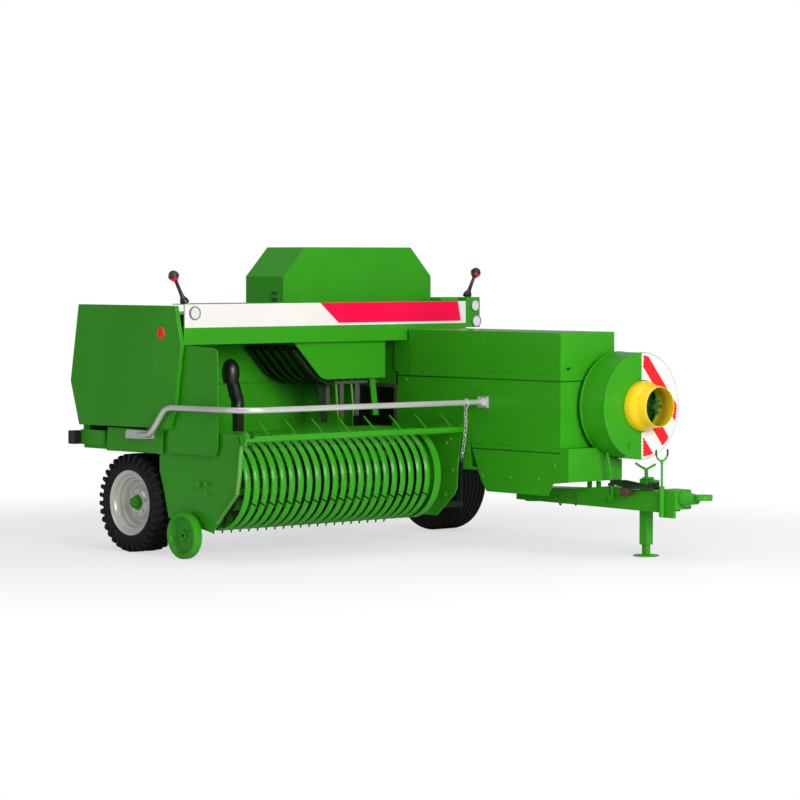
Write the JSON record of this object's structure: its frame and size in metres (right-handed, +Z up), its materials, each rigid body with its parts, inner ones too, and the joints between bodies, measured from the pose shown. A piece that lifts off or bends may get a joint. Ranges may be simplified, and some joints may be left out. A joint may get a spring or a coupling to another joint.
{
  "type": "square baler",
  "caption": "Towed small square baler with pickup, wind guard, offset bale chamber, flywheel cover, knotter hood, guard rail, swinging drawbar and parking jack.",
  "frame": {"origin": "ground level under the middle of the whole machine's box", "axes": "+X is the direction of travel, +Y is the machine's left, +Z is up"},
  "size_m": [5.375, 2.8686, 1.925],
  "materials": {
    "green_paint": "gloss green paint on sheet steel",
    "tyre_rubber": "moulded black tyre rubber",
    "rim_silver": "silver-grey painted steel",
    "rail_silver": "zinc-plated steel tube",
    "black_plastic": "matt black moulded plastic",
    "dark_paint": "worn dark green-black paint",
    "lamp_white": "clear white lens plastic",
    "board_white": "white reflective sheet with red diagonal stripes",
    "guard_yellow": "yellow moulded guard plastic",
    "bare_steel": "worn bare steel"
  },
  "bodies": {
    "chassis": {"axle_beam": "green_paint", "main_frame": "green_paint", "front_beam": "green_paint", "lamp_bracket_left": "green_paint", "front_lamp_right": "lamp_white", "front_lamp_left": "lamp_white", "front_reflector_left": "lamp_white", "marker_lamp_right": "black_plastic", "marker_lamp_left": "black_plastic", "right_side_panel": "green_paint", "right_lower_panel": "green_paint", "drive_shield": "green_paint", "twine_box": "green_paint", "rear_lamp_right": "black_plastic", "rear_lamp_left": "black_plastic", "feeder_floor": "green_paint", "feeder_back_wall": "green_paint", "rear_cover": "green_paint", "top_deck": "green_paint", "packer_cover": "green_paint", "packer_ribs": "dark_paint", "packer_forks": "bare_steel", "crop_horn": "black_plastic", "bale_chamber": "green_paint", "plunger_housing": "green_paint", "chamber_skirt": "green_paint", "gearbox": "green_paint", "flywheel_cover": "green_paint", "warning_board": "board_white", "pto_guard": "guard_yellow", "knotter_frame": "green_paint", "density_frame": "green_paint", "chamber_hoop_rear": "green_paint", "chamber_hoop_front": "green_paint", "guard_rail": "rail_silver", "drawbar_hanger": "green_paint"},
    "wheel_right": {"tyre_right": "tyre_rubber", "rim_right": "rim_silver"},
    "wheel_left": {"tyre_left": "tyre_rubber", "rim_left": "rim_silver"},
    "pickup": {"pickup_frame": "green_paint", "pickup_bands": "green_paint", "wind_guard": "green_paint"},
    "pickup_rotor": {"pickup_reel": "green_paint"},
    "gauge_roller": {"gauge_wheel": "green_paint"},
    "input_rotor": {"flywheel": "green_paint", "pto_yoke": "green_paint"},
    "plunger_block": {"plunger": "bare_steel"},
    "needles": {"needle_yoke": "green_paint"},
    "crank_lid": {"housing_lid": "green_paint"},
    "knotter_lid": {"knotter_hood": "green_paint"},
    "chute": {"bale_chute": "green_paint"},
    "tongue": {"drawbar": "green_paint", "hitch_eye": "green_paint", "pto_support_hook": "green_paint", "jack_tube": "green_paint", "jack_crank": "green_paint"},
    "jack_foot": {"jack_leg": "green_paint"}
  },
  "joints": [
    {"name": "wheel_right_spin", "type": "hinge", "parent": "chassis", "child": "wheel_right", "pos_m": [-0.2025, -1.2605, 0.312], "axis": [0, 1, 0], "continuous": true},
    {"name": "wheel_left_spin", "type": "hinge", "parent": "chassis", "child": "wheel_left", "pos_m": [-0.2025, 1.2995, 0.34], "axis": [0, 1, 0], "continuous": true},
    {"name": "pickup_lift", "type": "hinge", "parent": "chassis", "child": "pickup", "pos_m": [0.1825, -0.4305, 0.66], "axis": [0, -1, 0], "range_deg": [0, 15]},
    {"name": "pickup_reel_spin", "type": "hinge", "parent": "pickup", "child": "pickup_rotor", "pos_m": [0.6275, -0.4805, 0.462], "axis": [0, 1, 0], "continuous": true},
    {"name": "gauge_wheel_spin", "type": "hinge", "parent": "pickup", "child": "gauge_roller", "pos_m": [0.3975, -1.3785, 0.146], "axis": [0, 1, 0], "continuous": true},
    {"name": "flywheel_spin", "type": "hinge", "parent": "chassis", "child": "input_rotor", "pos_m": [1.8875, 0.9495, 0.93], "axis": [1, 0, 0], "continuous": true},
    {"name": "plunger_slide", "type": "slide", "parent": "chassis", "child": "plunger_block", "axis": [1, 0, 0], "range_m": [-0.5, 0]},
    {"name": "needle_swing", "type": "hinge", "parent": "chassis", "child": "needles", "pos_m": [0.3475, 0.7195, 0.72], "axis": [0, 1, 0], "range_deg": [0, 65]},
    {"name": "housing_lid_hinge", "type": "hinge", "parent": "chassis", "child": "crank_lid", "pos_m": [1.0975, 0.9675, 1.112], "axis": [-1, 0, 0], "range_deg": [0, 80]},
    {"name": "knotter_hood_hinge", "type": "hinge", "parent": "chassis", "child": "knotter_lid", "pos_m": [-0.3025, 0.3195, 1.5053], "axis": [0, -1, 0], "range_deg": [0, 75]},
    {"name": "chute_fold", "type": "hinge", "parent": "chassis", "child": "chute", "pos_m": [-1.8245, 0.7195, 0.59], "axis": [0, 1, 0], "range_deg": [0, 85]},
    {"name": "drawbar_swing", "type": "hinge", "parent": "chassis", "child": "tongue", "pos_m": [1.1475, 0.8895, 0.35], "axis": [0, 0, 1], "range_deg": [-12, 0]},
    {"name": "jack_slide", "type": "slide", "parent": "tongue", "child": "jack_foot", "axis": [0, 0, 1], "range_m": [-0.2, 0.05]}
  ]
}
